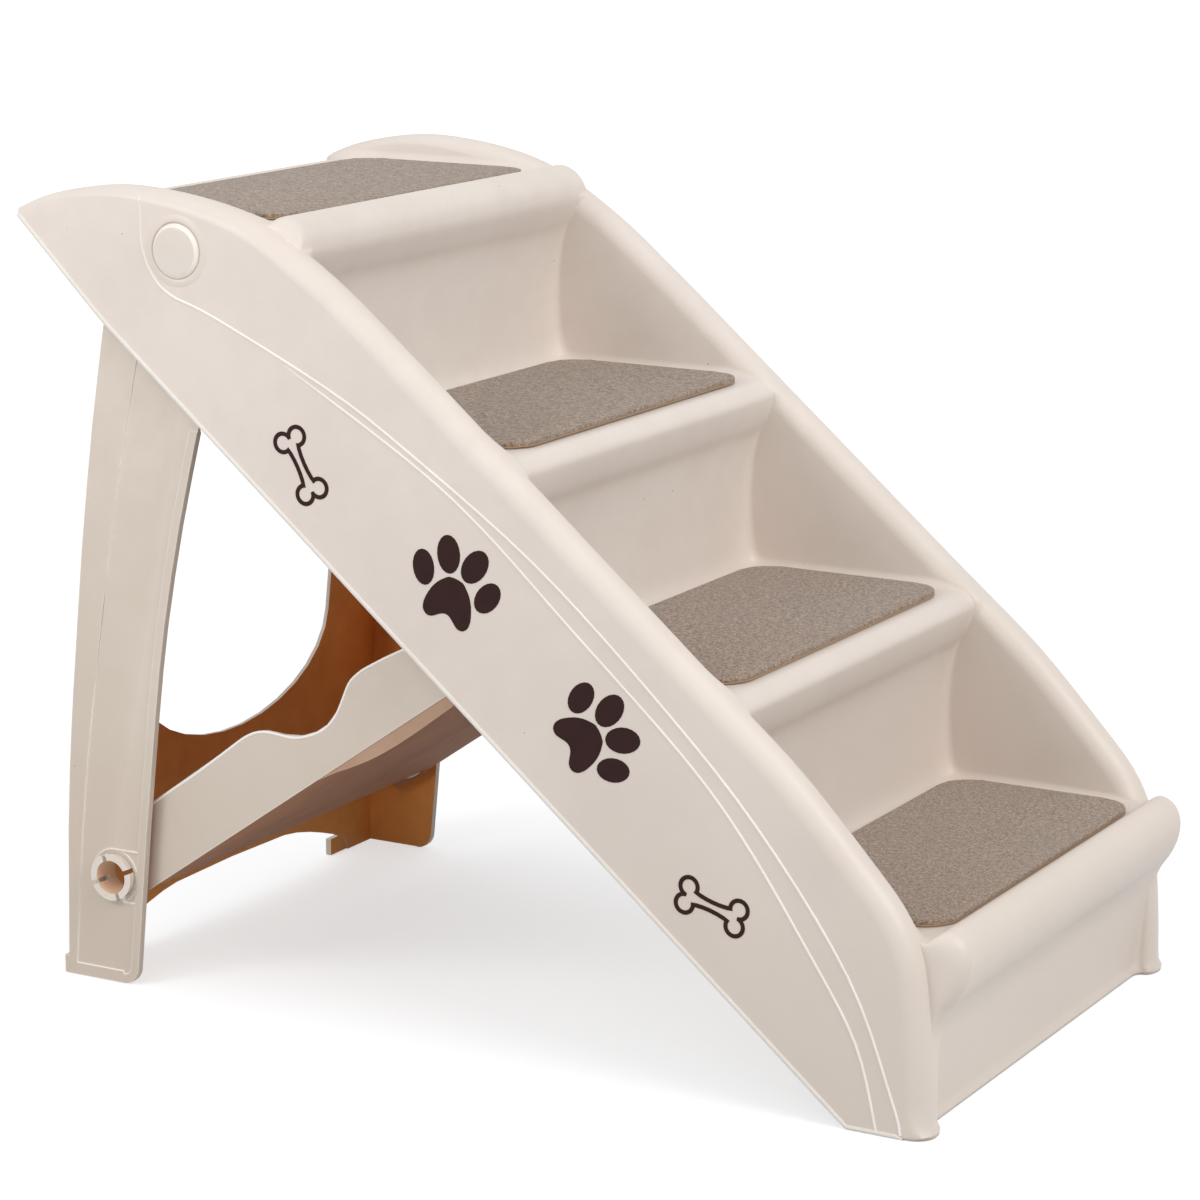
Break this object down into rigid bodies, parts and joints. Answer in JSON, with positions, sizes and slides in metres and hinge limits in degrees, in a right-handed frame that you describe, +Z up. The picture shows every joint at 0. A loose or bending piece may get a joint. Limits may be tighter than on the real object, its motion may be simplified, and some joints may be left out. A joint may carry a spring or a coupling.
{
  "type": "folding pet stairs",
  "caption": "Folding pet stairs: a moulded flight of steps between hollow curved rails, with felt tread pads, a swinging rear leg frame and a brace that hooks onto posts in the rails.",
  "frame": {"origin": "on the floor, under the middle of the open stairs' bounding box", "axes": "+X from the platform towards the lowest step, +Y to the left side, +Z up"},
  "size_m": [0.6441, 0.3804, 0.5132],
  "materials": {
    "body_plastic": "warm off-white moulded polypropylene with a satin skin",
    "leg_plastic": "warm beige moulded polypropylene with a satin skin",
    "pin_plastic": "moulded snap pins in the colour of the body",
    "felt": "needled felt carpet, grey-brown, with a cut edge",
    "print_ink": "dark brown printed figures"
  },
  "bodies": {
    "stairs": {"stair_body": "body_plastic", "pivot_pin_left": "pin_plastic", "pivot_pin_right": "pin_plastic", "tread_pad_1": "felt", "tread_pad_2": "felt", "tread_pad_3": "felt", "tread_pad_4": "felt", "bone_print_rear_left": "print_ink", "bone_print_rear_right": "print_ink", "paw_print_rear_left": "print_ink", "paw_print_rear_right": "print_ink", "paw_print_front_left": "print_ink", "paw_print_front_right": "print_ink", "bone_print_front_left": "print_ink", "bone_print_front_right": "print_ink"},
    "rear_leg": {"leg_frame": "leg_plastic"},
    "brace": {"brace": "leg_plastic", "brace_peg_left": "pin_plastic", "brace_peg_right": "pin_plastic"}
  },
  "joints": [
    {"name": "leg_fold", "type": "hinge", "parent": "stairs", "child": "rear_leg", "pos_m": [-0.2025, 0, 0.477], "axis": [0, -1, 0], "range_deg": [0, 45]},
    {"name": "brace_fold", "type": "hinge", "parent": "rear_leg", "child": "brace", "pos_m": [-0.2653, 0, 0.071], "axis": [0, -1, 0], "range_deg": [0, 51]}
  ],
  "couplings": [
    {"joint": "brace_fold", "follows": "leg_fold", "ratio": 1.1333}
  ]
}
